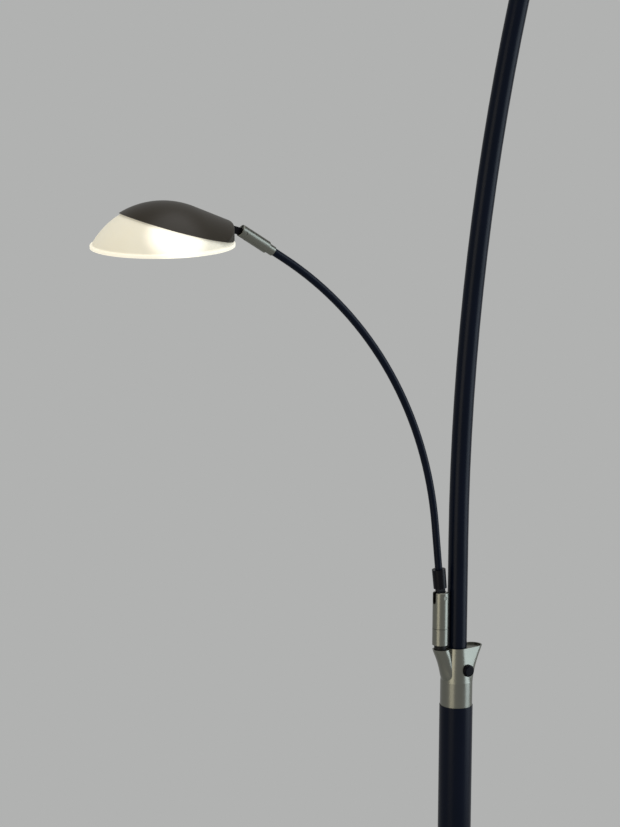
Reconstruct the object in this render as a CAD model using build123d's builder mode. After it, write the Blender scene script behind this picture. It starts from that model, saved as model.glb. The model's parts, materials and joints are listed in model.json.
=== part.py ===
"""Torchiere floor lamp with a reading light, built from its separate pieces.

All sizes are millimetres. The origin is the middle of the base's underside, +Z is up.
The reading arm leans out towards -X, the torchiere tube bows towards +X, and the
push button faces -Y. Each light head has a frame of its own: its origin is the centre
of the glass rim, +X points to the knuckle that carries it and +Z to its closed side.
"""

import math
import os
from dataclasses import dataclass

from build123d import *

os.makedirs("parts", exist_ok=True)

# ---- fits -----------------------------------------------------------------------
RUNNING_GAP = 0.05  # radial gap of a shaft that turns in its bore
FACE_GAP = 0.4  # gap between two faces that slide or turn past each other
CHEEK_GAP = 0.15  # gap on each side of a tongue in its slot

# ---- base -----------------------------------------------------------------------
PAD_RADIUS = 132.0
PAD_THICKNESS = 3.0
WEIGHT_RADIUS = 130.0
WEIGHT_THICKNESS = 15.0
WEIGHT_CHAMFER = 3.0
WEIGHT_BOSS_RADIUS = 20.0
COVER_RADIUS = 140.0
COVER_SHEET = 1.5
COVER_FLOOR_GAP = 1.0
COVER_EDGE_Z = 21.9  # height of the roof at its edge
COVER_EDGE_ROUND = 7.0
COVER_TOP_Z = 24.0
NIPPLE_RADIUS = 8.0
NIPPLE_BORE_RADIUS = 5.5
NIPPLE_TOP_Z = 62.0
NUT_ACROSS_FLATS = 24.0
NUT_THICKNESS = 5.0
NUT_RECESS_RADIUS = 17.0
WASHER_RADIUS = 16.0
WASHER_THICKNESS = 1.5
FOOT_RING_WIDTH = 5.5  # around the post
FOOT_RING_HEIGHT = 9.0
FOOT_RING_ROUND = 3.0
DRIVER_LENGTH = 84.0
DRIVER_WIDTH = 38.0
DRIVER_HEIGHT = 13.0
DRIVER_OFFSET_Y = 62.0
DRIVER_FLOOR = 4.0  # iron left under the driver's pocket
DRIVER_POCKET_GAP = 2.0
DRIVER_EAR_LENGTH = 9.0
DRIVER_EAR_THICKNESS = 2.5
DRIVER_SCREW_RADIUS = 1.75
GLAND_RADIUS = 4.6
GLAND_LIP_RADIUS = 6.2
GLAND_BORE_RADIUS = 3.2
GLAND_LIP = 1.4
GLAND_Z = 8.4

# ---- post -----------------------------------------------------------------------
POST_RADIUS = 17.5
POST_WALL = 1.5
POST_JOINT_Z = 500.0
COUPLER_REACH = 30.0
COUPLER_WALL = 2.0
POST_PLUG_LENGTH = 26.0

# ---- collar ---------------------------------------------------------------------
COLLAR_BOTTOM_Z = 975.0
COLLAR_HEIGHT = 62.0
COLLAR_RADIUS = 16.9
COLLAR_WAIST = 26.0  # height of the round part under the fork
COLLAR_BORE_RADIUS = 14.4
COLLAR_BORE_DEPTH = 20.0
COLLAR_CAVITY_RADIUS = 12.6
COLLAR_WEB_Z = 46.5  # underside of the web that the tube stands on
COLLAR_WEB = 3.0
MOUTH_RECESS = 2.0
MOUTH_LIP = 1.3
SPIGOT_REACH = 34.0
SPIGOT_BORE_RADIUS = 10.5
ARM_LOBE = (  # height in the collar, centre towards -X and radius of the arm's lobe
    (26.0, 4.6, 11.4),
    (34.0, 7.9, 11.0),
    (40.0, 11.2, 9.4),
    (49.0, 14.8, 8.8),
    (56.0, 17.5, 9.1),
    (62.0, 19.8, 9.2),
)
TUBE_LOBE = (  # height, radius round the tube, centre towards +X and radius of its tip
    (26.0, 16.9, 0.6, 16.5),
    (40.0, 15.3, 7.2, 13.4),
    (49.0, 14.2, 11.7, 12.2),
    (56.0, 13.3, 15.9, 11.2),
    (62.0, 12.6, 19.6, 10.3),
)
SET_SCREW_RADIUS = 2.0
SET_SCREW_SOCKET = 1.0
SPIGOT_SCREW_LENGTH = 2.2
TUBE_SCREW_LENGTH = 2.9
WIRE_RADIUS = 1.5

# ---- push button ----------------------------------------------------------------
BUTTON_RADIUS = 6.3
BUTTON_X = 4.0
BUTTON_Z = 39.2  # height in the collar
BUTTON_FACE_Y = -18.4
BUTTON_BACK_Y = -8.4
BUTTON_ROUND = 1.8
BUTTON_HOLE_GAP = 0.1
PLUNGER_RADIUS = 1.8
PLUNGER_SEAT = 3.8  # pressed into the button
PLUNGER_FOOT_RADIUS = 2.6
PLUNGER_FOOT = 0.8
MODULE_FOOT_RADIUS = 12.4
MODULE_FOOT = 2.0
MODULE_LENGTH = 15.0
MODULE_DEPTH = 13.0
MODULE_TOP_Z = 42.6  # height in the collar
MODULE_FRONT_Y = -6.6
MODULE_WALL = 1.6
MODULE_NOTCH = 6.0  # for the wires, in its foot

# ---- torchiere tube --------------------------------------------------------------
TUBE_RADIUS = 10.4
TUBE_WALL = 1.2
TUBE_STRAIGHT = 113.0  # above the collar's rim
TUBE_BOW_RADIUS = 2366.0
TUBE_BOW_ANGLE = 14.4
TUBE_PLUG_LENGTH = 14.0
TUBE_NIPPLE_RADIUS = 5.0
TUBE_NIPPLE_BORE_RADIUS = 3.6
TUBE_NUT_ACROSS_FLATS = 14.0
TUBE_NUT = 3.4
TORCH_SOCKET_LENGTH = 8.0
TORCH_SOCKET_SEAT = 14.0  # also the straight end of the tube

# ---- reading arm -----------------------------------------------------------------
ARM_X = -21.0
ARM_BUSH_RADIUS = 6.4
ARM_BUSH_HEIGHT = 5.0  # above the collar's rim
ARM_SOCKET_LENGTH = 17.2
ARM_STUD_RADIUS = 2.5
ARM_STUD_DEPTH = 5.0  # below the mouth's floor
ROD_RADIUS = 3.85
ROD_WALL = 1.0
ROD_TILT = 6.2
ROD_STRAIGHT = 77.5  # from the knuckle pin to the start of the bend
ROD_BEND_RADIUS = 363.7
ROD_END_LEAN = 60.0  # from vertical, at the head's end
ROD_TAIL = 12.8  # straight end, up to the head's socket
FERRULE_START = 10.0
FERRULE_LENGTH = 20.0
FERRULE_RADIUS = 6.9
FERRULE_TOP_RADIUS = 7.1
FERRULE_WIRE_RADIUS = 1.0
FERRULE_WIRE_OFFSET = 3.2
ROD_SEAT = 12.0  # rod held inside the ferrule
READ_SWIVEL = -8.4  # the head's turn about the rod's end, at rest
READ_TILT = -4.2  # its tilt about the knuckle pin, at rest
READ_SOCKET_LENGTH = 7.5
READ_SOCKET_RADIUS = 4.8
READ_ROD_SEAT = 6.0

# ---- details that every knuckle shares -------------------------------------------
CLIP_GAP = 0.3
CLIP_GROOVE = 0.6
CLIP_LIP = 1.2  # how far it stands out of the shaft
CLIP_THICKNESS = 0.8
SPIGOT_TIP = 1.2  # shaft left beyond the clip
PIN_INSET = 0.5

# ---- details that both heads share -----------------------------------------------
BEAD_ROUND = 0.4  # of the bead's height


@dataclass
class Knuckle:
    """A turning barrel with a slotted end that holds a tongue on a pin."""

    name: str
    radius: float
    length: float
    end_wall: float
    spigot_radius: float
    pin_radius: float
    pin_inset: float  # from the barrel's slotted end
    tongue_radius: float
    slot_width: float
    slot_floor: float  # where the slot's round bottom starts, under the pin
    edge: float
    wire_radius: float

    @property
    def pin_z(self):
        return self.length - self.pin_inset

    @property
    def tongue_thickness(self):
        return self.slot_width - 2 * CHEEK_GAP


@dataclass
class Head:
    """A glass dome under a metal cap that is cut on a slant."""

    name: str
    rim_radius: float
    dome_radius: float  # of the dome's outside, at the rim plane
    dome_height: float
    glass: float
    bead_width: float
    bead_height: float
    glass_hole: float
    cap_sheet: float
    cap_gap: float
    cap_radius: float
    cut_far_z: float  # height of the cut's arc over the rim, away from the knuckle
    cut_height: float  # at the dome's axis
    cut_near_z: float  # over the rim, at the knuckle
    wall_foot: float  # height of the end wall's lower edge
    roof_lean: float  # tilt of the roof's axis, down towards the knuckle
    roof_taper: float  # half angle of its cone
    cap_edge: float  # round between the roof and the end wall
    boss_radius: float
    sink_radius: float
    sink_height: float
    board_thickness: float
    lens_height: float
    lens_sheet: float
    board_radius: float
    screw_radius: float
    screw_head: float
    gasket_height: float
    gasket_radius: float
    screw_grip: float  # thread held in the cap's boss
    pin_x: float
    pin_z: float
    tongue_z: float  # middle of the tongue where it passes the cap's wall
    tongue_height: float
    flange_width: float
    flange_height: float
    flange_sheet: float

    @property
    def sphere_radius(self):
        return (self.dome_radius**2 + self.dome_height**2) / (2 * self.dome_height)

    @property
    def centre_z(self):
        return self.dome_height - self.sphere_radius


ARM_KNUCKLE = Knuckle(
    name="arm",
    radius=8.5,
    length=38.6,
    end_wall=5.0,
    spigot_radius=4.0,
    pin_radius=2.0,
    pin_inset=5.5,
    tongue_radius=4.5,
    slot_width=5.4,
    slot_floor=4.0,
    edge=1.4,
    wire_radius=1.5,
)
READ_KNUCKLE = Knuckle(
    name="read",
    radius=6.1,
    length=32.8,
    end_wall=4.0,
    spigot_radius=2.8,
    pin_radius=1.5,
    pin_inset=4.5,
    tongue_radius=3.4,
    slot_width=3.6,
    slot_floor=3.0,
    edge=0.8,
    wire_radius=1.2,
)
TORCH_KNUCKLE = Knuckle(
    name="torch",
    radius=11.4,
    length=46.0,
    end_wall=7.0,
    spigot_radius=5.5,
    pin_radius=3.0,
    pin_inset=9.0,
    tongue_radius=6.6,
    slot_width=7.0,
    slot_floor=14.0,
    edge=1.5,
    wire_radius=2.4,
)

READ_HEAD = Head(
    name="read",
    rim_radius=67.2,
    dome_radius=67.2,
    dome_height=40.4,
    glass=3.0,
    bead_width=4.7,
    bead_height=3.2,
    glass_hole=8.0,
    cap_sheet=1.2,
    cap_gap=0.3,
    cap_radius=66.5,
    cut_far_z=43.0,
    cut_height=19.2,
    cut_near_z=2.6,
    wall_foot=5.2,
    roof_lean=8.8,
    roof_taper=15.0,
    cap_edge=1.8,
    boss_radius=6.0,
    sink_radius=21.0,
    sink_height=5.0,
    board_thickness=1.6,
    lens_height=6.0,
    lens_sheet=1.2,
    board_radius=18.0,
    screw_radius=2.0,
    screw_head=2.2,
    gasket_height=2.0,
    gasket_radius=15.0,
    screw_grip=5.0,
    pin_x=82.0,
    pin_z=7.0,
    tongue_z=12.0,
    tongue_height=7.2,
    flange_width=11.0,
    flange_height=7.4,
    flange_sheet=1.0,
)
TORCH_HEAD = Head(
    name="torch",
    rim_radius=135.0,
    dome_radius=134.4,
    dome_height=81.0,
    glass=4.0,
    bead_width=6.6,
    bead_height=5.0,
    glass_hole=14.0,
    cap_sheet=1.8,
    cap_gap=0.6,
    cap_radius=133.0,
    cut_far_z=86.0,
    cut_height=38.4,
    cut_near_z=5.2,
    wall_foot=10.4,
    roof_lean=8.8,
    roof_taper=15.0,
    cap_edge=3.0,
    boss_radius=11.0,
    sink_radius=40.0,
    sink_height=9.0,
    board_thickness=1.6,
    lens_height=10.0,
    lens_sheet=1.8,
    board_radius=35.0,
    screw_radius=3.0,
    screw_head=3.0,
    gasket_height=3.0,
    gasket_radius=32.0,
    screw_grip=9.0,
    pin_x=160.0,
    pin_z=15.4,
    tongue_z=23.0,
    tongue_height=13.0,
    flange_width=22.0,
    flange_height=15.0,
    flange_sheet=1.8,
)

# ---- places worked out from the sizes --------------------------------------------
COLLAR_TOP_Z = COLLAR_BOTTOM_Z + COLLAR_HEIGHT
COLLAR_FLOOR = Plane.XY.offset(COLLAR_BOTTOM_Z)
MOUTH_FLOOR = Plane.XY.offset(COLLAR_TOP_Z - MOUTH_RECESS)
TUBE_SEAT_Z = COLLAR_BOTTOM_Z + COLLAR_WEB_Z + COLLAR_WEB
POST_BORE_RADIUS = POST_RADIUS - POST_WALL
COVER_INNER_TOP_Z = COVER_TOP_Z - COVER_SHEET
FOOT_RING_RADIUS = POST_RADIUS + FOOT_RING_WIDTH
WEIGHT_TOP_Z = PAD_THICKNESS + WEIGHT_THICKNESS


def plane_at(frame, place=(0, 0, 0), turn=(0, 0, 0)):
    """A plane that is moved and turned inside another plane's own axes."""
    return Plane(frame.location * Location(place, turn))


def upright_plane(origin, lean):
    """A plane whose Z leans from +Z towards -X, with Y left as it is."""
    return plane_at(Plane(origin), turn=(0, -lean, 0))


def bend_end(start, lean, radius, turn):
    """Where a bend that starts along a lean ends, going on towards -X as it turns."""
    first, last = math.radians(lean), math.radians(lean + turn)
    return start + radius * Vector(math.cos(last) - math.cos(first), 0, math.sin(last) - math.sin(first))


def head_frame(head, knuckle, knuckle_frame, turn):
    """The head's frame, turned about the knuckle's pin from the barrel's own axes."""
    at_pin = plane_at(knuckle_frame.offset(knuckle.pin_z), turn=(0, turn, 0))
    return plane_at(at_pin, (-head.pin_x, 0, -head.pin_z))


ARM_FRAME = Plane((ARM_X, 0, COLLAR_TOP_Z + ARM_BUSH_HEIGHT + ARM_SOCKET_LENGTH))
ROD_FRAME = upright_plane(ARM_FRAME.offset(ARM_KNUCKLE.pin_z).origin, ROD_TILT)
ROD_BEND_END = bend_end(
    ROD_FRAME.offset(ROD_STRAIGHT).origin, ROD_TILT, ROD_BEND_RADIUS, ROD_END_LEAN - ROD_TILT
)
READ_FRAME = plane_at(
    upright_plane(ROD_BEND_END, ROD_END_LEAN).offset(ROD_TAIL + READ_SOCKET_LENGTH),
    turn=(0, 0, READ_SWIVEL),
)
READ_HEAD_FRAME = head_frame(READ_HEAD, READ_KNUCKLE, READ_FRAME, ROD_END_LEAN + READ_TILT)
TUBE_BOW_END = bend_end(Vector(0, 0, COLLAR_TOP_Z + TUBE_STRAIGHT), 0, -TUBE_BOW_RADIUS, -TUBE_BOW_ANGLE)
TORCH_FRAME = upright_plane(TUBE_BOW_END, -TUBE_BOW_ANGLE).offset(TORCH_SOCKET_SEAT + TORCH_SOCKET_LENGTH)
TORCH_HEAD_FRAME = head_frame(TORCH_HEAD, TORCH_KNUCKLE, TORCH_FRAME, 180 - TUBE_BOW_ANGLE)


def finish(builder, name):
    """Label a finished piece and write it."""
    builder.part.label = name
    export_step(builder.part, f"parts/{name}.step")


def disc(plane, radius, length, place=(0, 0), mode=Mode.ADD):
    """A cylinder that starts on a plane, added or cut away."""
    with BuildSketch(plane) as section:
        with Locations(place):
            Circle(radius)
    extrude(section.sketch, amount=length, mode=mode)


def bore(plane, radius, length, place=(0, 0)):
    """A round hole that starts on a plane."""
    disc(plane, radius, length, place, Mode.SUBTRACT)


def on_cap_wall(head, frame, edge):
    """True for an edge where the cap's roof meets its end wall."""
    centre = frame.to_local_coords(edge.center())
    middle = frame.to_local_coords(edge.position_at(0.5))
    return abs(math.hypot(middle.X, middle.Y) - head.cap_radius) < FACE_GAP and centre.X > 0


def ring(plane, outer, inner, length):
    """A plain tube that starts on a plane."""
    with BuildSketch(plane) as section:
        Circle(outer)
        Circle(inner, mode=Mode.SUBTRACT)
    extrude(section.sketch, amount=length)


def nut(plane, across_flats, bore_radius, length):
    """A hexagonal nut that starts on a plane."""
    with BuildSketch(plane) as section:
        RegularPolygon(across_flats / 2, 6, major_radius=False)
        Circle(bore_radius, mode=Mode.SUBTRACT)
    extrude(section.sketch, amount=length)


# ---- base ------------------------------------------------------------------------
def base():
    nut_top_z = PAD_THICKNESS + NUT_THICKNESS
    pocket_floor_z = PAD_THICKNESS + DRIVER_FLOOR
    ear_floor_z = WEIGHT_TOP_Z - DRIVER_EAR_THICKNESS
    ear_reach = DRIVER_LENGTH + 2 * DRIVER_EAR_LENGTH
    ear_x = (DRIVER_LENGTH + DRIVER_EAR_LENGTH) / 2
    ear_places = [(-ear_x, DRIVER_OFFSET_Y), (ear_x, DRIVER_OFFSET_Y)]
    pad_top = Plane.XY.offset(PAD_THICKNESS)
    pocket_floor = Plane.XY.offset(pocket_floor_z)

    with BuildPart() as base_pad:
        disc(Plane.XY, PAD_RADIUS, PAD_THICKNESS)
    finish(base_pad, "base_pad")

    with BuildPart() as base_weight:
        disc(pad_top, WEIGHT_RADIUS, WEIGHT_THICKNESS)
        chamfer(base_weight.edges().filter_by(GeomType.CIRCLE).sort_by(Axis.Z)[-1], WEIGHT_CHAMFER)
        disc(pad_top, WEIGHT_BOSS_RADIUS, COVER_INNER_TOP_Z - PAD_THICKNESS)
        bore(pad_top, NUT_RECESS_RADIUS, NUT_THICKNESS + WASHER_THICKNESS)
        bore(pad_top, NIPPLE_RADIUS, COVER_TOP_Z)
        with BuildSketch(pocket_floor):
            with Locations((0, DRIVER_OFFSET_Y)):
                Rectangle(DRIVER_LENGTH + DRIVER_POCKET_GAP, DRIVER_WIDTH + DRIVER_POCKET_GAP)
            with Locations(*ear_places):
                Circle(DRIVER_SCREW_RADIUS)
        extrude(amount=WEIGHT_THICKNESS, mode=Mode.SUBTRACT)
        with BuildSketch(Plane.XY.offset(ear_floor_z)):
            with Locations((0, DRIVER_OFFSET_Y)):
                Rectangle(ear_reach + DRIVER_POCKET_GAP, DRIVER_WIDTH + DRIVER_POCKET_GAP)
        extrude(amount=WEIGHT_THICKNESS, mode=Mode.SUBTRACT)
    finish(base_weight, "base_weight")

    with BuildPart() as led_driver:
        with BuildSketch(pocket_floor):
            with Locations((0, DRIVER_OFFSET_Y)):
                Rectangle(DRIVER_LENGTH, DRIVER_WIDTH)
        extrude(amount=DRIVER_HEIGHT)
        with BuildSketch(Plane.XY.offset(ear_floor_z)):
            with Locations((0, DRIVER_OFFSET_Y)):
                Rectangle(ear_reach, DRIVER_WIDTH)
            with Locations(*ear_places):
                Circle(DRIVER_SCREW_RADIUS, mode=Mode.SUBTRACT)
        extrude(amount=DRIVER_EAR_THICKNESS)
    finish(led_driver, "led_driver")

    with BuildPart() as driver_screws:
        with BuildSketch(pocket_floor):
            with Locations(*ear_places):
                Circle(DRIVER_SCREW_RADIUS)
        extrude(amount=WEIGHT_TOP_Z - pocket_floor_z)
        with BuildSketch(Plane.XY.offset(WEIGHT_TOP_Z)):
            with Locations(*ear_places):
                Circle(2 * DRIVER_SCREW_RADIUS)
        extrude(amount=DRIVER_SCREW_RADIUS)
    finish(driver_screws, "driver_screws")

    skin = COVER_RADIUS - COVER_SHEET
    gland_plane = Plane.XZ.offset(-COVER_RADIUS - GLAND_LIP)
    with BuildPart() as base_cover:
        with BuildSketch(Plane.XZ) as profile:
            with BuildLine():
                Polyline(
                    (NIPPLE_RADIUS, COVER_TOP_Z),
                    (FOOT_RING_RADIUS, COVER_TOP_Z),
                    (COVER_RADIUS, COVER_EDGE_Z),
                    (COVER_RADIUS, COVER_FLOOR_GAP),
                    (skin, COVER_FLOOR_GAP),
                    (skin, COVER_EDGE_Z - COVER_SHEET),
                    (FOOT_RING_RADIUS, COVER_INNER_TOP_Z),
                    (NIPPLE_RADIUS, COVER_INNER_TOP_Z),
                    close=True,
                )
            make_face()
            columns = profile.vertices().group_by(Axis.X)
            fillet(columns[-1].sort_by(Axis.Y)[-1], COVER_EDGE_ROUND)
            fillet(columns[-2].sort_by(Axis.Y)[-1], COVER_EDGE_ROUND - COVER_SHEET)
        revolve(axis=Axis.Z)
        bore(gland_plane, GLAND_RADIUS, 4 * GLAND_LIP, (0, GLAND_Z))
    finish(base_cover, "base_cover")

    with BuildPart() as cable_gland:
        disc(gland_plane, GLAND_LIP_RADIUS, 3 * GLAND_LIP + COVER_SHEET - GLAND_LIP, (0, GLAND_Z))
        with BuildSketch():
            Circle(COVER_RADIUS)
            Circle(skin, mode=Mode.SUBTRACT)
        extrude(amount=COVER_TOP_Z, mode=Mode.SUBTRACT)
        disc(gland_plane, GLAND_RADIUS, 3 * GLAND_LIP, (0, GLAND_Z))
        bore(gland_plane, GLAND_BORE_RADIUS, 4 * GLAND_LIP, (0, GLAND_Z))
    finish(cable_gland, "cable_gland")

    with BuildPart() as foot_nut:
        nut(pad_top, NUT_ACROSS_FLATS, NIPPLE_RADIUS, NUT_THICKNESS)
    finish(foot_nut, "foot_nut")

    with BuildPart() as foot_washer:
        ring(Plane.XY.offset(nut_top_z), WASHER_RADIUS, NIPPLE_RADIUS, WASHER_THICKNESS)
    finish(foot_washer, "foot_washer")

    with BuildPart() as post_nipple:
        ring(pad_top, NIPPLE_RADIUS, NIPPLE_BORE_RADIUS, NIPPLE_TOP_Z - PAD_THICKNESS)
    finish(post_nipple, "post_nipple")


# ---- post ------------------------------------------------------------------------
def post():
    foot = Plane.XY.offset(COVER_TOP_Z)
    joint = Plane.XY.offset(POST_JOINT_Z)
    with BuildPart() as post_plug:
        ring(foot, POST_BORE_RADIUS, NIPPLE_RADIUS, POST_PLUG_LENGTH)
    finish(post_plug, "post_plug")

    with BuildPart() as post_lower:
        ring(foot, POST_RADIUS, POST_BORE_RADIUS, POST_JOINT_Z - COVER_TOP_Z)
    finish(post_lower, "post_lower")

    with BuildPart() as post_upper:
        ring(joint, POST_RADIUS, POST_BORE_RADIUS, COLLAR_BOTTOM_Z - POST_JOINT_Z)
    finish(post_upper, "post_upper")

    with BuildPart() as post_coupler:
        coupler_bore_radius = POST_BORE_RADIUS - COUPLER_WALL
        ring(joint.offset(-COUPLER_REACH), POST_BORE_RADIUS, coupler_bore_radius, 2 * COUPLER_REACH)
    finish(post_coupler, "post_coupler")

    with BuildPart() as foot_ring:
        ring(foot, FOOT_RING_RADIUS, POST_RADIUS, FOOT_RING_HEIGHT)
        top_edges = foot_ring.edges().filter_by(GeomType.CIRCLE).group_by(Axis.Z)[-1]
        fillet(top_edges.sort_by(SortBy.RADIUS)[-1], FOOT_RING_ROUND)
    finish(foot_ring, "foot_ring")


# ---- collar ----------------------------------------------------------------------
def tube_lobe_outline(root_radius, tip_x, tip_radius):
    """The tube's lobe seen from above: the outline round two circles."""
    Circle(root_radius)
    with Locations((tip_x, 0)):
        Circle(tip_radius)
    make_hull()


def collar():
    spigot_screw_z = COLLAR_BOTTOM_Z + COLLAR_BORE_DEPTH / 2
    tube_screw_z = TUBE_SEAT_Z + 2 * SET_SCREW_RADIUS
    web_underside = COLLAR_FLOOR.offset(COLLAR_WEB_Z)

    with BuildPart() as arm_lobe:
        for height, centre, radius in ARM_LOBE:
            with BuildSketch(COLLAR_FLOOR.offset(height)):
                with Locations((-centre, 0)):
                    Circle(radius)
        loft()

    with BuildPart() as collar_body:
        for height, root_radius, tip_x, tip_radius in TUBE_LOBE:
            with BuildSketch(COLLAR_FLOOR.offset(height)):
                tube_lobe_outline(root_radius, tip_x, tip_radius)
        loft()
        add(arm_lobe.part)
        disc(COLLAR_FLOOR, COLLAR_RADIUS, COLLAR_WAIST)
        # the shallow mouth, inside a thin lip
        arm_rim_x, arm_rim_radius = ARM_LOBE[-1][1:]
        root_radius, tip_x, tip_radius = TUBE_LOBE[-1][1:]
        with BuildSketch(MOUTH_FLOOR):
            tube_lobe_outline(root_radius - MOUTH_LIP, tip_x, tip_radius - MOUTH_LIP)
            with Locations((-arm_rim_x, 0)):
                Circle(arm_rim_radius - MOUTH_LIP)
        extrude(amount=2 * MOUTH_RECESS, mode=Mode.SUBTRACT)
        # bore for the spigot, the room for the dimmer over it, and the tube's seat
        bore(COLLAR_FLOOR, COLLAR_BORE_RADIUS, COLLAR_BORE_DEPTH)
        bore(COLLAR_FLOOR, COLLAR_CAVITY_RADIUS, COLLAR_WEB_Z)
        bore(COLLAR_FLOOR, TUBE_NIPPLE_RADIUS, COLLAR_HEIGHT)
        bore(Plane.XY.offset(TUBE_SEAT_Z), TUBE_RADIUS, COLLAR_HEIGHT)
        # stud hole with its slanted way for the wires, button hole, set screws at the back
        bore(MOUTH_FLOOR, ARM_STUD_RADIUS, -ARM_STUD_DEPTH, (ARM_X, 0))
        stud_end = Vector(ARM_X, 0, COLLAR_TOP_Z - MOUTH_RECESS - ARM_STUD_DEPTH)
        wire_way = Vector(-COLLAR_CAVITY_RADIUS, 0, COLLAR_BOTTOM_Z + COLLAR_WEB_Z - WIRE_RADIUS) - stud_end
        bore(Plane(stud_end, z_dir=wire_way), WIRE_RADIUS, wire_way.length + WIRE_RADIUS)
        button_place = (BUTTON_X, COLLAR_BOTTOM_Z + BUTTON_Z)
        bore(Plane.XZ, BUTTON_RADIUS + BUTTON_HOLE_GAP, 2 * COLLAR_RADIUS, button_place)
        for height in (spigot_screw_z, tube_screw_z):
            bore(Plane.XZ, SET_SCREW_RADIUS, -2 * COLLAR_RADIUS, (0, height))
    finish(collar_body, "collar_body")

    with BuildPart() as collar_spigot:
        ring(COLLAR_FLOOR.offset(-SPIGOT_REACH), POST_BORE_RADIUS, SPIGOT_BORE_RADIUS, SPIGOT_REACH)
        ring(COLLAR_FLOOR, COLLAR_BORE_RADIUS, SPIGOT_BORE_RADIUS, COLLAR_BORE_DEPTH)
    finish(collar_spigot, "collar_spigot")

    with BuildPart() as collar_screws:
        for height, start, length in (
            (spigot_screw_z, COLLAR_BORE_RADIUS, SPIGOT_SCREW_LENGTH),
            (tube_screw_z, TUBE_RADIUS, TUBE_SCREW_LENGTH),
        ):
            disc(Plane.XZ.offset(-start), SET_SCREW_RADIUS, -length, (0, height))
            with BuildSketch(Plane.XZ.offset(-start - length)):
                with Locations((0, height)):
                    RegularPolygon(SET_SCREW_SOCKET, 6)
            extrude(amount=length / 2, mode=Mode.SUBTRACT)
    finish(collar_screws, "collar_screws")

    with BuildPart() as tube_nut:
        nut(web_underside.offset(-TUBE_NUT), TUBE_NUT_ACROSS_FLATS, TUBE_NIPPLE_RADIUS, TUBE_NUT)
    finish(tube_nut, "tube_nut")

    with BuildPart() as tube_nipple:
        nipple_length = TUBE_NUT + COLLAR_WEB + TUBE_PLUG_LENGTH
        ring(web_underside.offset(-TUBE_NUT), TUBE_NIPPLE_RADIUS, TUBE_NIPPLE_BORE_RADIUS, nipple_length)
    finish(tube_nipple, "tube_nipple")

    with BuildPart() as tube_plug:
        ring(Plane.XY.offset(TUBE_SEAT_Z), TUBE_RADIUS - TUBE_WALL, TUBE_NIPPLE_RADIUS, TUBE_PLUG_LENGTH)
    finish(tube_plug, "tube_plug")


# ---- push button -----------------------------------------------------------------
def push_button():
    place = (BUTTON_X, COLLAR_BOTTOM_Z + BUTTON_Z)
    button_back = Plane.XZ.offset(-BUTTON_BACK_Y)
    plunger_end_y = MODULE_FRONT_Y + MODULE_WALL + PLUNGER_FOOT + FACE_GAP / 2
    plunger_end = Plane.XZ.offset(-plunger_end_y)

    with BuildPart() as dimmer_button:
        disc(button_back, BUTTON_RADIUS, BUTTON_BACK_Y - BUTTON_FACE_Y, place)
        fillet(dimmer_button.faces().sort_by(Axis.Y)[0].edges(), BUTTON_ROUND)
        bore(button_back, PLUNGER_RADIUS, PLUNGER_SEAT, place)
    finish(dimmer_button, "dimmer_button")

    with BuildPart() as dimmer_plunger:
        disc(plunger_end, PLUNGER_FOOT_RADIUS, PLUNGER_FOOT, place)
        disc(plunger_end, PLUNGER_RADIUS, plunger_end_y - BUTTON_BACK_Y + PLUNGER_SEAT, place)
    finish(dimmer_plunger, "dimmer_plunger")

    foot = COLLAR_FLOOR.offset(COLLAR_BORE_DEPTH)
    module_front = Plane.XZ.offset(-MODULE_FRONT_Y)
    with BuildPart() as dimmer_module:
        disc(foot, MODULE_FOOT_RADIUS, MODULE_FOOT)
        with BuildSketch(foot):
            with Locations((0, MODULE_FOOT_RADIUS)):
                Rectangle(MODULE_NOTCH, 2 * MODULE_NOTCH)
        extrude(amount=MODULE_FOOT, mode=Mode.SUBTRACT)
        with BuildSketch(foot):
            with Locations((0, MODULE_FRONT_Y + MODULE_DEPTH / 2)):
                Rectangle(MODULE_LENGTH, MODULE_DEPTH)
        extrude(amount=MODULE_TOP_Z - COLLAR_BORE_DEPTH)
        bore(module_front, PLUNGER_RADIUS + RUNNING_GAP, -MODULE_WALL, place)
        bore(module_front.offset(-MODULE_WALL), PLUNGER_FOOT_RADIUS + FACE_GAP / 2, -2 * MODULE_WALL, place)
    finish(dimmer_module, "dimmer_module")


# ---- knuckles --------------------------------------------------------------------
def spigot(knuckle, frame):
    """The hollow shaft that a barrel turns on, with the groove for its clip."""
    clip_start = FACE_GAP + knuckle.end_wall + CLIP_GAP
    ring(frame, knuckle.spigot_radius, knuckle.wire_radius, clip_start)
    groove = frame.offset(clip_start)
    ring(groove, knuckle.spigot_radius - CLIP_GROOVE, knuckle.wire_radius, CLIP_THICKNESS)
    ring(groove.offset(CLIP_THICKNESS), knuckle.spigot_radius, knuckle.wire_radius, SPIGOT_TIP)


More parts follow.
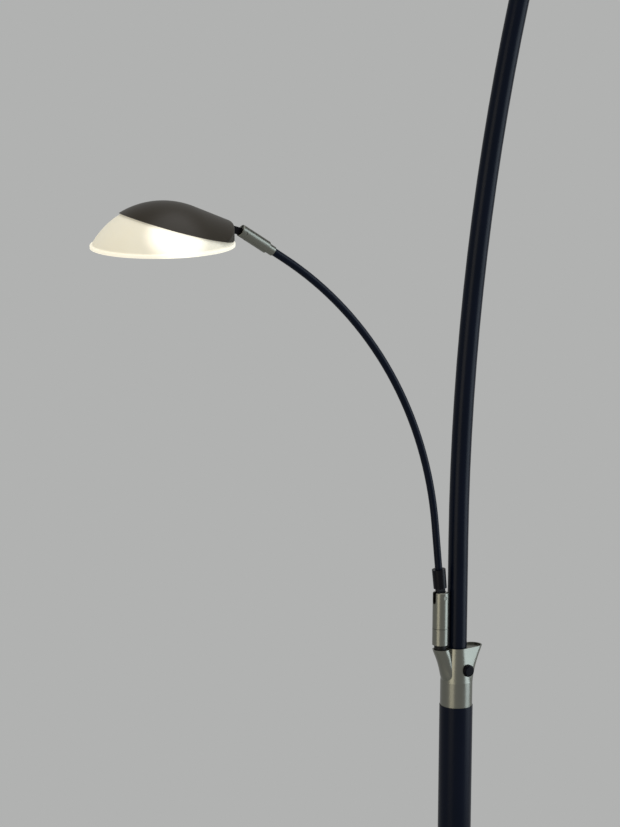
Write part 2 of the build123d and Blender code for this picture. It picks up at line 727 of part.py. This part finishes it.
def knuckle_pieces(knuckle, frame):
    """The barrel, its clip and its pin. The pin lies along the frame's Y axis."""
    clip_radius = knuckle.spigot_radius + CLIP_LIP
    cavity_start = FACE_GAP + knuckle.end_wall
    slot_bottom = knuckle.pin_z - knuckle.slot_floor
    cavity = slot_bottom - knuckle.slot_width / 2 - cavity_start
    slot_face = plane_at(frame, (-2 * knuckle.radius, 0, 0), (0, 90, 90))
    pin_face = plane_at(frame, (0, knuckle.radius, knuckle.pin_z), (90, 0, 0))

    with BuildPart() as barrel:
        disc(frame.offset(FACE_GAP), knuckle.radius, knuckle.length - FACE_GAP)
        rims = barrel.edges().filter_by(GeomType.CIRCLE).sort_by(Axis(frame.origin, frame.z_dir))
        fillet(rims[-1], knuckle.edge)
        bore(frame, knuckle.spigot_radius + RUNNING_GAP, knuckle.length / 2)
        bore(frame.offset(cavity_start), clip_radius + FACE_GAP, cavity)
        with BuildSketch(slot_face):
            with Locations((0, slot_bottom)):
                Circle(knuckle.slot_width / 2)
            with Locations((0, slot_bottom + knuckle.length / 2)):
                Rectangle(knuckle.slot_width, knuckle.length)
        extrude(amount=4 * knuckle.radius, mode=Mode.SUBTRACT)
        bore(pin_face, knuckle.pin_radius, 2 * knuckle.radius)
    finish(barrel, f"{knuckle.name}_barrel")

    with BuildPart() as clip:
        clip_plane = frame.offset(cavity_start + CLIP_GAP)
        ring(clip_plane, clip_radius, knuckle.spigot_radius - CLIP_GROOVE, CLIP_THICKNESS)
    finish(clip, f"{knuckle.name}_clip")

    with BuildPart() as pin:
        disc(pin_face.offset(PIN_INSET), knuckle.pin_radius, 2 * (knuckle.radius - PIN_INSET))
    finish(pin, f"{knuckle.name}_pin")


# ---- reading arm -----------------------------------------------------------------
def reading_arm():
    on_axis = Plane((ARM_X, 0, 0))
    bush_top = on_axis.offset(COLLAR_TOP_Z + ARM_BUSH_HEIGHT)
    stud_end = on_axis.offset(COLLAR_TOP_Z - MOUTH_RECESS - ARM_STUD_DEPTH)
    bush_height = ARM_BUSH_HEIGHT + MOUTH_RECESS
    with BuildPart() as arm_bush:
        ring(bush_top, ARM_BUSH_RADIUS, ARM_STUD_RADIUS, -bush_height)
    finish(arm_bush, "arm_bush")

    with BuildPart() as arm_socket:
        ring(stud_end, ARM_STUD_RADIUS, WIRE_RADIUS, ARM_STUD_DEPTH + bush_height)
        ring(bush_top, ARM_KNUCKLE.radius, WIRE_RADIUS, ARM_SOCKET_LENGTH)
        spigot(ARM_KNUCKLE, ARM_FRAME)
    finish(arm_socket, "arm_socket")
    knuckle_pieces(ARM_KNUCKLE, ARM_FRAME)

    ferrule_base = ROD_FRAME.offset(FERRULE_START)
    ferrule_top = ROD_FRAME.offset(FERRULE_START + FERRULE_LENGTH)
    rod_start = ferrule_top.offset(-ROD_SEAT)
    with BuildPart() as arm_ferrule:
        with BuildSketch(ferrule_base):
            Circle(FERRULE_RADIUS)
        with BuildSketch(ferrule_top):
            Circle(FERRULE_TOP_RADIUS)
        loft()
        with BuildSketch(plane_at(ROD_FRAME, turn=(90, 0, 0))):
            Circle(ARM_KNUCKLE.tongue_radius)
            with Locations((0, FERRULE_START / 2)):
                Rectangle(2 * ARM_KNUCKLE.tongue_radius, FERRULE_START)
            Circle(ARM_KNUCKLE.pin_radius + RUNNING_GAP, mode=Mode.SUBTRACT)
        extrude(amount=ARM_KNUCKLE.tongue_thickness / 2, both=True)
        bore(rod_start, ROD_RADIUS, ROD_SEAT)
        bore(ferrule_base, FERRULE_WIRE_RADIUS, FERRULE_LENGTH, (0, FERRULE_WIRE_OFFSET))
    finish(arm_ferrule, "arm_ferrule")

    with BuildPart() as arm_rod:
        with BuildLine(Plane.XZ) as path:
            straight = Line(rod_start.origin, ROD_FRAME.offset(ROD_STRAIGHT).origin)
            bend = JernArc(straight @ 1, straight % 1, ROD_BEND_RADIUS, ROD_END_LEAN - ROD_TILT)
            Line(bend @ 1, bend @ 1 + (bend % 1) * (ROD_TAIL + READ_ROD_SEAT))
        with BuildSketch(rod_start):
            Circle(ROD_RADIUS)
            Circle(ROD_RADIUS - ROD_WALL, mode=Mode.SUBTRACT)
        sweep(path=path.line)
    finish(arm_rod, "arm_rod")

    sleeve_start = READ_FRAME.offset(-READ_SOCKET_LENGTH)
    with BuildPart() as read_socket:
        ring(sleeve_start, READ_SOCKET_RADIUS, READ_KNUCKLE.wire_radius, READ_SOCKET_LENGTH)
        bore(sleeve_start, ROD_RADIUS, READ_ROD_SEAT)
        spigot(READ_KNUCKLE, READ_FRAME)
    finish(read_socket, "read_socket")
    knuckle_pieces(READ_KNUCKLE, READ_FRAME)


# ---- torchiere tube --------------------------------------------------------------
def torchiere_tube():
    with BuildPart() as torch_tube:
        with BuildLine(Plane.XZ) as path:
            straight = Line((0, TUBE_SEAT_Z), (0, COLLAR_TOP_Z + TUBE_STRAIGHT))
            bow = JernArc(straight @ 1, straight % 1, TUBE_BOW_RADIUS, -TUBE_BOW_ANGLE)
            Line(bow @ 1, bow @ 1 + (bow % 1) * TORCH_SOCKET_SEAT)
        with BuildSketch(Plane.XY.offset(TUBE_SEAT_Z)):
            Circle(TUBE_RADIUS)
            Circle(TUBE_RADIUS - TUBE_WALL, mode=Mode.SUBTRACT)
        sweep(path=path.line)
    finish(torch_tube, "torch_tube")

    tube_end = TORCH_FRAME.offset(-TORCH_SOCKET_LENGTH)
    with BuildPart() as torch_socket:
        plug_radius = TUBE_RADIUS - TUBE_WALL
        ring(tube_end.offset(-TORCH_SOCKET_SEAT), plug_radius, TORCH_KNUCKLE.wire_radius, TORCH_SOCKET_SEAT)
        ring(tube_end, TORCH_KNUCKLE.radius, TORCH_KNUCKLE.wire_radius, TORCH_SOCKET_LENGTH)
        spigot(TORCH_KNUCKLE, TORCH_FRAME)
    finish(torch_socket, "torch_socket")
    knuckle_pieces(TORCH_KNUCKLE, TORCH_FRAME)


# ---- light heads -----------------------------------------------------------------
def roof_block(head, frame, sheet):
    """The room under the cap's roof, drawn in by a sheet: a sphere drawn out into a cone."""
    radius = head.sphere_radius + head.cap_gap + head.cap_sheet - sheet
    taper = math.radians(head.roof_taper)
    end = 2 * head.cap_radius
    centre = plane_at(frame, (0, 0, head.centre_z), (0, head.roof_lean, 0))
    with BuildSketch(plane_at(centre, turn=(90, 0, 0))) as profile:
        with BuildLine():
            ThreePointArc((-radius, 0), (0, radius), (radius * math.sin(taper), radius * math.cos(taper)))
            Polyline(
                (radius * math.sin(taper), radius * math.cos(taper)),
                (end, radius / math.cos(taper) - end * math.tan(taper)),
                (end, 0),
                (-radius, 0),
            )
        make_face()
    revolve(profile.sketch, axis=Axis(centre.origin, centre.x_dir))


def light_head(head, knuckle, frame):
    side = plane_at(frame, turn=(90, 0, 0))
    axis = Axis(frame.origin, frame.z_dir)
    reach = 4 * head.rim_radius
    inner_radius = head.sphere_radius - head.glass
    sink_top = head.centre_z + math.sqrt(inner_radius**2 - head.gasket_radius**2) - head.gasket_height
    sink_bottom = sink_top - head.sink_height
    board_bottom = sink_bottom - head.board_thickness
    lens_bottom = sink_bottom - head.lens_height
    roof_inside = head.centre_z + head.sphere_radius + head.cap_gap

    with BuildPart() as glass:
        with BuildSketch(side):
            with Locations((0, head.centre_z)):
                Circle(head.sphere_radius)
                Circle(inner_radius, mode=Mode.SUBTRACT)
            with Locations((head.glass_hole, 0)):
                Rectangle(reach, reach, align=(Align.MIN, Align.MIN), mode=Mode.INTERSECT)
            with Locations((head.rim_radius - head.bead_width / 2, head.bead_height / 2)):
                RectangleRounded(head.bead_width, head.bead_height, head.bead_height * BEAD_ROUND)
        revolve(axis=axis)
    finish(glass, f"{head.name}_glass")

    with BuildPart() as gasket:
        with BuildSketch(side):
            with Locations((0, head.centre_z)):
                Circle(head.sphere_radius + head.cap_gap)
            with Locations((head.boss_radius, sink_top)):
                Rectangle(head.gasket_radius - head.boss_radius, reach, align=(Align.MIN, Align.MIN), mode=Mode.INTERSECT)
            with BuildSketch(mode=Mode.SUBTRACT):
                with Locations((0, head.centre_z)):
                    Circle(head.sphere_radius)
                    Circle(inner_radius, mode=Mode.SUBTRACT)
                with Locations((head.glass_hole, 0)):
                    Rectangle(reach, reach, align=(Align.MIN, Align.MIN), mode=Mode.INTERSECT)
        revolve(axis=axis)
    finish(gasket, f"{head.name}_gasket")

    with BuildPart() as heat_sink:
        ring(frame.offset(sink_bottom), head.sink_radius, head.screw_radius, head.sink_height)
    finish(heat_sink, f"{head.name}_heat_sink")

    with BuildPart() as led_board:
        ring(frame.offset(board_bottom), head.board_radius, head.screw_radius, head.board_thickness)
    finish(led_board, f"{head.name}_led_board")

    with BuildPart() as lens:
        disc(frame.offset(lens_bottom), head.sink_radius, head.lens_height)
        fillet(lens.edges().sort_by(axis)[0], head.lens_sheet)
        bore(frame.offset(lens_bottom + head.lens_sheet), head.sink_radius - head.lens_sheet, head.lens_height)
    finish(lens, f"{head.name}_lens")

    with BuildPart() as screw:
        disc(frame.offset(board_bottom - head.screw_head), 2 * head.screw_radius, head.screw_head)
        disc(frame.offset(board_bottom), head.screw_radius, sink_top - board_bottom + head.screw_grip)
    finish(screw, f"{head.name}_screw")

    # the cap: a roof that leaves the dome's round, an end wall, and a slanted, curved lower edge
    with BuildPart() as cap:
        roof_block(head, frame, 0)
        disc(frame.offset(-reach), head.cap_radius, 2 * reach, mode=Mode.INTERSECT)
    with BuildPart() as cap_room:
        roof_block(head, frame, head.cap_sheet)
        disc(frame.offset(-reach), head.cap_radius - head.cap_sheet, 2 * reach, mode=Mode.INTERSECT)
        disc(frame.offset(sink_top), head.boss_radius, reach, mode=Mode.SUBTRACT)
    with BuildPart() as head_cap:
        add(cap.part)
        wall_edges = head_cap.edges().filter_by(lambda edge: on_cap_wall(head, frame, edge))
        fillet(wall_edges, head.cap_edge)
        add(cap_room.part, mode=Mode.SUBTRACT)
        with BuildSketch(side):
            with BuildLine():
                far_end = (-head.rim_radius, head.cut_far_z)
                near_end = (head.rim_radius, head.cut_near_z)
                ThreePointArc(far_end, (0, head.cut_height), near_end)
                Polyline(
                    near_end,
                    (reach, head.cut_near_z),
                    (reach, -reach),
                    (-reach, -reach),
                    (-reach, head.cut_far_z),
                    far_end,
                )
            make_face()
            with Locations((0, head.wall_foot)):
                Rectangle(2 * reach, reach, align=(Align.CENTER, Align.MAX))
        extrude(amount=reach, both=True, mode=Mode.SUBTRACT)
        disc(frame.offset(sink_top), head.boss_radius, roof_inside - sink_top)
        bore(frame.offset(sink_top), head.screw_radius, head.screw_grip)
        with BuildSketch(plane_at(frame, (0, 0, head.tongue_z), (0, 90, 90))):
            Rectangle(knuckle.tongue_thickness, head.tongue_height)
        extrude(amount=reach, mode=Mode.SUBTRACT)
    finish(head_cap, f"{head.name}_cap")

    # the tongue: a curved flange behind the wall and a plate out to the knuckle's pin
    wall_inside = head.cap_radius - head.cap_sheet
    with BuildPart() as tongue:
        with BuildSketch(frame.offset(head.tongue_z - head.flange_height / 2)):
            Circle(wall_inside)
            Circle(wall_inside - head.flange_sheet, mode=Mode.SUBTRACT)
            with Locations((wall_inside, 0)):
                Rectangle(head.rim_radius, head.flange_width, mode=Mode.INTERSECT)
        extrude(amount=head.flange_height)
        with BuildSketch(side):
            with Locations((head.pin_x, head.pin_z)):
                Circle(knuckle.tongue_radius)
            with Locations((head.cap_radius + head.cap_sheet / 2, head.tongue_z)):
                Rectangle(head.cap_sheet, head.tongue_height)
            make_hull()
            with Locations((head.cap_radius, head.tongue_z)):
                Rectangle(2 * head.cap_sheet + head.flange_sheet, head.tongue_height)
            with Locations((head.pin_x, head.pin_z)):
                Circle(knuckle.pin_radius + RUNNING_GAP, mode=Mode.SUBTRACT)
        extrude(amount=knuckle.tongue_thickness / 2, both=True)
    finish(tongue, f"{head.name}_tongue")


base()
post()
collar()
push_button()
reading_arm()
torchiere_tube()
light_head(READ_HEAD, READ_KNUCKLE, READ_HEAD_FRAME)
light_head(TORCH_HEAD, TORCH_KNUCKLE, TORCH_HEAD_FRAME)
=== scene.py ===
"""Looks of the floor lamp: finishes, studio light and the photograph's camera. Metres throughout."""

import json
from math import radians

import bmesh
import bpy
from mathutils import Matrix, Vector


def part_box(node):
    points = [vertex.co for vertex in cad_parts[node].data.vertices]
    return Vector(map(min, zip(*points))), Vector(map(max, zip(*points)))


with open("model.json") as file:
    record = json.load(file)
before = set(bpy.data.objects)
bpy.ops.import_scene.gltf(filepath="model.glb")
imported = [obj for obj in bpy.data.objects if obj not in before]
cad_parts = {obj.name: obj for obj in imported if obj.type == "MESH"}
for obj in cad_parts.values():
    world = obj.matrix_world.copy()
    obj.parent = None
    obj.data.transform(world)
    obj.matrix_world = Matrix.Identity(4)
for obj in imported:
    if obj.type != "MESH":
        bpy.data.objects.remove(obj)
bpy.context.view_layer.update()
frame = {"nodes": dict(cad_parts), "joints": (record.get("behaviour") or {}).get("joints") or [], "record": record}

# ---- finishes: two tones, metallic, roughness, and the scale and depth of the grain -------
GRAINED = {
    "pad_rubber": dict(
        tones=((0.02, 0.02, 0.02), (0.03, 0.03, 0.03)), metallic=0, rough=(0.75, 0.9), grain=900, depth=0.0002
    ),
    "cast_iron": dict(
        tones=((0.07, 0.07, 0.075), (0.1, 0.095, 0.09)),
        metallic=0.6,
        rough=(0.6, 0.85),
        grain=350,
        depth=0.0006,
    ),
    "dark_enamel": dict(
        tones=((0.001, 0.003, 0.009), (0.002, 0.004, 0.012)),
        metallic=0,
        rough=(0.28, 0.33),
        grain=700,
        depth=0.00002,
        specular=0.1,
    ),
    "driver_case": dict(
        tones=((0.6, 0.6, 0.58), (0.55, 0.55, 0.53)), metallic=0, rough=(0.5, 0.65), grain=800, depth=0.0001
    ),
    "zinc_steel": dict(
        tones=((0.55, 0.56, 0.56), (0.45, 0.46, 0.45)),
        metallic=1,
        rough=(0.3, 0.45),
        grain=500,
        depth=0.00005,
    ),
    "turned_steel": dict(
        tones=((0.42, 0.42, 0.42), (0.36, 0.36, 0.36)),
        metallic=1,
        rough=(0.25, 0.4),
        grain=900,
        depth=0.00003,
    ),
    "satin_nickel": dict(
        tones=((0.2, 0.2, 0.172), (0.18, 0.182, 0.157)),
        metallic=1,
        rough=(0.29, 0.33),
        grain=1500,
        depth=0.000004,
        stretch=(1, 1, 0.04),  # the grain runs up and down
    ),
    "black_knuckle": dict(
        tones=((0.002, 0.002, 0.004), (0.003, 0.003, 0.005)),
        metallic=0,
        rough=(0.28, 0.33),
        grain=900,
        depth=0.00002,
        specular=0.12,
    ),
    "black_plastic": dict(
        tones=((0.003, 0.003, 0.003), (0.005, 0.005, 0.005)),
        metallic=0,
        rough=(0.45, 0.6),
        grain=900,
        depth=0.00005,
        specular=0.2,
    ),
    "button_black": dict(
        tones=((0.001, 0.001, 0.003), (0.002, 0.002, 0.004)),
        metallic=0,
        rough=(0.08, 0.12),
        grain=300,
        depth=0.00001,
        specular=0.06,
    ),
    "bronze_shell": dict(
        tones=((0.025, 0.0195, 0.0125), (0.02, 0.0155, 0.01)),
        metallic=0,
        rough=(0.36, 0.42),
        grain=1100,
        depth=0.00003,
        specular=0.18,
    ),
    "gasket_rubber": dict(
        tones=((0.6, 0.6, 0.58), (0.66, 0.66, 0.64)), metallic=0, rough=(0.6, 0.75), grain=700, depth=0.0001
    ),
    "raw_aluminium": dict(
        tones=((0.6, 0.6, 0.61), (0.54, 0.54, 0.55)), metallic=1, rough=(0.3, 0.45), grain=700, depth=0.00004
    ),
    "led_board": dict(
        tones=((0.7, 0.7, 0.67), (0.66, 0.66, 0.63)), metallic=0, rough=(0.4, 0.55), grain=600, depth=0.00003
    ),
    "opal_lens": dict(
        tones=((0.7, 0.69, 0.64), (0.67, 0.66, 0.61)), metallic=0, rough=(0.3, 0.4), grain=500, depth=0.00002
    ),
}
DRIFT_SCALE = 9.0  # of the slow change between a finish's two tones
GRAIN_BUMP = 0.35
NOISE_SPAN = (0.3, 0.7)  # where most of a noise texture's values lie

# ---- glass, and the glow of the reading light, which is lit in the photograph -------------
GLASS_TONES = ((0.62, 0.585, 0.475), (0.6014, 0.5616, 0.4418))
GLASS_DRIFT = 30.0
GLASS_FROST = 2600.0
FROST_ROUGHNESS = (0.42, 0.55)
FROST_BUMP, FROST_DEPTH = 0.15, 0.00005
SCATTER, SCATTER_REACH = 0.2, (0.012, 0.011, 0.009)
PIN_OVER_RIM = 0.007  # the reading light's tilt pin over the plane of its rim
PAINTED_GLOW_MIDDLE = Vector((-0.004, -0.036, 0.001))  # middle of the painted glow patch, in the reading light's own axes
GLOW_REACH = (0.024, 0.038)  # from the painted glow's middle: brightest up to here, faintest from here
GLOW_STRENGTH = (0.95, 0.24)  # brightest, faintest
GLOW_COLOR = (1.0, 0.955, 0.83)
RIM_GLOW_BAND = (0.0026, 0.0042)  # heights over the rim's plane between which its painted bright band fades out
# emission of the painted bright band at the glass rim
RIM_GLOW_STRENGTH = 0.28
LENS_TONES = ((0.8, 0.79, 0.74), (0.77, 0.76, 0.71))
LENS_DRIFT = 300.0
LENS_ROUGHNESS = 0.35
LENS_COLOR, LENS_STRENGTH = (1.0, 0.97, 0.9), 1.2

# ---- floor and background -----------------------------------------------------------------
BACKGROUND = (0.44, 0.445, 0.44)
FLOOR_TONES = ((0.47, 0.475, 0.47), (0.49, 0.495, 0.49))
FLOOR_GRAIN = 60.0
FLOOR_ROUGHNESS = 0.85
FLOOR_RADIUS, FLOOR_SIDES = 14.0, 96
FLOOR_DROP = 0.0005  # under the base, so that the two don't share a plane
FLOOR_FADE = (0.5, 1.7)  # distance from the post over which the floor takes the background's tone

# ---- lights: name, place, aim, width and height, watts, colour -----------------------------
LIGHTS = (
    ("key_light", (2.1, -1.5, 1.5), (0, 0, 1.2), (1.9, 2.8), 50, (0.76, 0.89, 1.0)),
    ("fill_light", (-2.4, -1.05, 1.5), (0, 0, 1.2), (1.5, 2.8), 24, (1.0, 0.92, 0.74)),
    ("top_light", (0.2, -0.5, 4.2), (0, 0, 0.8), (2.6, 2.6), 45, (1, 1, 1)),
)
AMBIENT = 0.4

# ---- camera, as the photograph was taken --------------------------------------------------
PHOTO_WIDTH = 620.0  # pixels
FOCAL_LENGTH = 1700.0  # pixels
SENSOR_WIDTH = 36.0  # millimetres
CAMERA_PLACE = (-1.0034239, -1.4285198, 1.4927095)
HEADING, PITCH, ROLL = 60.0, -6.9, 0.22  # degrees: from +X towards +Y, upwards, and turned in the picture
CAMERA_RANGE = 60  # how far it sees


# ---- node helpers -------------------------------------------------------------------------
def link(tree, output, socket):
    tree.links.new(output, socket)


def settings(node, values):
    """Sets sockets of a node, by name."""
    for name, value in values.items():
        node.inputs[name].default_value = value


def material(name):
    mat = bpy.data.materials.new(name)
    mat.use_nodes = True
    return mat, mat.node_tree, mat.node_tree.nodes["Principled BSDF"]


def place(tree):
    """Where a point is on its piece, in metres."""
    return tree.nodes.new("ShaderNodeTexCoord").outputs["Object"]


def noise(tree, scale, detail, rough=0.5, stretch=(1, 1, 1)):
    mapping = tree.nodes.new("ShaderNodeMapping")
    settings(mapping, {"Scale": stretch})
    link(tree, place(tree), mapping.inputs["Vector"])
    node = tree.nodes.new("ShaderNodeTexNoise")
    settings(node, {"Scale": scale, "Detail": detail, "Roughness": rough})
    link(tree, mapping.outputs["Vector"], node.inputs["Vector"])
    return node.outputs["Fac"]


def map_range(tree, value, span, target, smooth=False):
    node = tree.nodes.new("ShaderNodeMapRange")
    if smooth:
        node.interpolation_type = "SMOOTHERSTEP"
    settings(node, {"From Min": span[0], "From Max": span[1], "To Min": target[0], "To Max": target[1]})
    link(tree, value, node.inputs["Value"])
    return node.outputs["Result"]


def arithmetic(tree, operation, first, second):
    node = tree.nodes.new("ShaderNodeMath")
    node.operation = operation
    link(tree, first, node.inputs[0])
    link(tree, second, node.inputs[1])
    return node.outputs["Value"]


def measure(tree, operation, vector=None):
    """A number from a point's place: its length, its distance from a vector or its product with one."""
    node = tree.nodes.new("ShaderNodeVectorMath")
    node.operation = operation
    if vector is not None:
        node.inputs[1].default_value = vector
    link(tree, place(tree), node.inputs[0])
    return node.outputs["Value"]


def mix_shaders(tree, factor, first, second):
    node = tree.nodes.new("ShaderNodeMixShader")
    for output, socket in zip((factor, first, second), node.inputs):
        link(tree, output, socket)
    return node.outputs["Shader"]


def paint(tree, bsdf, tones, scale, detail):
    """A base colour that drifts between two tones."""
    mix = tree.nodes.new("ShaderNodeMix")
    mix.data_type = "RGBA"
    inputs = {socket.identifier: socket for socket in mix.inputs}
    for name, tone in zip(("A_Color", "B_Color"), tones):
        inputs[name].default_value = (*tone, 1)
    drift = map_range(tree, noise(tree, scale, detail), NOISE_SPAN, (0, 1))
    link(tree, drift, inputs["Factor_Float"])
    outputs = {socket.identifier: socket for socket in mix.outputs}
    link(tree, outputs["Result_Color"], bsdf.inputs["Base Color"])


def bump(tree, bsdf, height, strength, depth):
    node = tree.nodes.new("ShaderNodeBump")
    settings(node, {"Strength": strength, "Distance": depth})
    link(tree, height, node.inputs["Height"])
    link(tree, node.outputs["Normal"], bsdf.inputs["Normal"])


# ---- materials ----------------------------------------------------------------------------
def grained(name, tones, metallic, rough, grain, depth, stretch=(1, 1, 1), specular=0.5):
    """A finish with a slow drift of colour and a fine grain in its gloss and surface."""
    mat, tree, bsdf = material(name)
    paint(tree, bsdf, tones, DRIFT_SCALE, detail=2.0)
    fine = noise(tree, grain, detail=4.0, rough=0.6, stretch=stretch)
    link(tree, map_range(tree, fine, NOISE_SPAN, rough), bsdf.inputs["Roughness"])
    settings(bsdf, {"Metallic": metallic, "Specular IOR Level": specular})
    bump(tree, bsdf, fine, GRAIN_BUMP, depth)
    return mat


def lit_lens(name):
    """The lit plastic lens of the reading light."""
    mat, tree, bsdf = material(name)
    paint(tree, bsdf, LENS_TONES, LENS_DRIFT, detail=2.0)
    settings(bsdf, {"Roughness": LENS_ROUGHNESS})
    settings(bsdf, {"Emission Color": (*LENS_COLOR, 1), "Emission Strength": LENS_STRENGTH})
    return mat


def frosted_glass(name, head=None):
    """Opal glass. With a head it shows its lit lamp as painted glow: white close to the glow's middle, and a
    bright band at its rim.
    """
    mat, tree, bsdf = material(name)
    paint(tree, bsdf, GLASS_TONES, GLASS_DRIFT, detail=3.0)
    frost = noise(tree, GLASS_FROST, detail=2.0)
    link(tree, map_range(tree, frost, NOISE_SPAN, FROST_ROUGHNESS), bsdf.inputs["Roughness"])
    settings(
        bsdf, {"Subsurface Weight": SCATTER, "Subsurface Radius": SCATTER_REACH, "Subsurface Scale": 1.0}
    )
    bump(tree, bsdf, frost, FROST_BUMP, FROST_DEPTH)
    if head:
        up = head.col[2].to_3d()
        rim = up.dot(head.translation)
        # painted glow: emission, strongest close to the glow's middle and fading out from there
        reach = measure(tree, "DISTANCE", head @ PAINTED_GLOW_MIDDLE)
        glow_patch = map_range(tree, reach, GLOW_REACH, GLOW_STRENGTH, smooth=True)
        # painted bright band: emission just over the rim's plane, fading out higher up
        fade = [rim + height for height in RIM_GLOW_BAND]
        band = map_range(tree, measure(tree, "DOT_PRODUCT", up), fade, (RIM_GLOW_STRENGTH, 0.0))
        settings(bsdf, {"Emission Color": (*GLOW_COLOR, 1)})
        link(tree, arithmetic(tree, "ADD", glow_patch, band), bsdf.inputs["Emission Strength"])
    return mat


def reading_head():
    """The reading light's own axes at rest: from the middle of its rim's plane, with Z through its dome."""
    tilt = next(joint for joint in frame["joints"] if joint["name"] == "reading_tilt")
    pin, side = Vector(tilt["pos_m"]), Vector(tilt["axis"])
    board = frame["nodes"]["read_led_board"].data  # a flat disc across the head's own Z
    up = max(board.polygons, key=lambda facet: facet.area).normal.copy()
    if up.z < 0:
        up.negate()
    low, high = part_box("read_led_board")
    middle = (low + high) / 2
    origin = middle + up * ((pin - middle).dot(up) - PIN_OVER_RIM)
    turn = Matrix((side.cross(up), side, up)).transposed().to_4x4()
    return Matrix.Translation(origin) @ turn


# ---- floor --------------------------------------------------------------------------------
def seen_directly(tree):
    """1 for rays that show the background: from the camera, a reflection or clear glass."""
    path = tree.nodes.new("ShaderNodeLightPath")
    value = path.outputs["Is Camera Ray"]
    for ray in ("Is Glossy Ray", "Is Transmission Ray"):
        value = arithmetic(tree, "MAXIMUM", value, path.outputs[ray])
    return value


def backdrop_material():
    """A pale floor that keeps the shadow, and fades to the background's own tone."""
    mat, tree, bsdf = material("floor_paint")
    paint(tree, bsdf, FLOOR_TONES, FLOOR_GRAIN, detail=3.0)
    settings(bsdf, {"Roughness": FLOOR_ROUGHNESS})
    fade = map_range(tree, measure(tree, "LENGTH"), FLOOR_FADE, (0, 1), smooth=True)
    factor = arithmetic(tree, "MULTIPLY", fade, seen_directly(tree))
    plain = tree.nodes.new("ShaderNodeEmission")
    settings(plain, {"Color": (*BACKGROUND, 1)})
    mixed = mix_shaders(tree, factor, bsdf.outputs["BSDF"], plain.outputs["Emission"])
    link(tree, mixed, tree.nodes["Material Output"].inputs["Surface"])
    return mat


def lay_floor():
    mesh = bpy.data.meshes.new("floor")
    disc = bmesh.new()
    bmesh.ops.create_circle(disc, cap_ends=True, segments=FLOOR_SIDES, radius=FLOOR_RADIUS)
    disc.to_mesh(mesh)
    disc.free()
    obj = bpy.data.objects.new("floor", mesh)
    bpy.context.collection.objects.link(obj)
    obj.location.z = -FLOOR_DROP
    mesh.materials.append(backdrop_material())


# ---- light and camera ---------------------------------------------------------------------
def softbox(name, position, target, size, power, color):
    data = bpy.data.lights.new(name, "AREA")
    data.shape = "RECTANGLE"
    data.size, data.size_y = size
    data.energy = power
    data.color = color
    obj = bpy.data.objects.new(name, data)
    obj.location = position
    aim = Vector(target) - Vector(position)
    obj.rotation_euler = aim.to_track_quat("-Z", "Y").to_euler()
    bpy.context.collection.objects.link(obj)


def studio_world():
    """Even white light from all round, which the camera sees as a plain grey background."""
    world = bpy.data.worlds.new("studio")
    bpy.context.scene.world = world
    world.use_nodes = True
    tree = world.node_tree
    tree.nodes.clear()
    shades = []
    for color, strength in (((1, 1, 1), AMBIENT), (BACKGROUND, 1.0)):
        node = tree.nodes.new("ShaderNodeBackground")
        settings(node, {"Color": (*color, 1), "Strength": strength})
        shades.append(node.outputs["Background"])
    output = tree.nodes.new("ShaderNodeOutputWorld")
    link(tree, mix_shaders(tree, seen_directly(tree), *shades), output.inputs["Surface"])


def photo_camera():
    data = bpy.data.cameras.new("photo_camera")
    data.sensor_fit = "HORIZONTAL"
    data.sensor_width = SENSOR_WIDTH
    data.lens = SENSOR_WIDTH * FOCAL_LENGTH / PHOTO_WIDTH
    data.clip_end = CAMERA_RANGE
    camera = bpy.data.objects.new("photo_camera", data)
    turn = Matrix.Rotation(radians(HEADING - 90), 4, "Z")  # a camera without turns looks down, its top to +Y
    turn @= Matrix.Rotation(radians(PITCH + 90), 4, "X") @ Matrix.Rotation(radians(ROLL), 4, "Z")
    camera.matrix_world = Matrix.Translation(CAMERA_PLACE) @ turn
    bpy.context.collection.objects.link(camera)
    bpy.context.scene.camera = camera


# ---- the lamp in its studio ---------------------------------------------------------------
slot_finishes = {name: grained(name, **look) for name, look in GRAINED.items()}
slot_finishes["frosted_glass"] = frosted_glass("frosted_glass")
node_finishes = {
    "read_lens": lit_lens("opal_lens_lit"),
    "read_glass": frosted_glass("frosted_glass_painted_glow", reading_head()),
}
slots = {entry["node"]: entry["material_slot"] for entry in frame["record"]["subparts"]}
for node, obj in frame["nodes"].items():
    obj.data.materials.clear()
    obj.data.materials.append(node_finishes.get(node, slot_finishes[slots[node]]))

lay_floor()
for light in LIGHTS:
    softbox(*light)
studio_world()
photo_camera()
bpy.context.scene.view_settings.view_transform = "Standard"
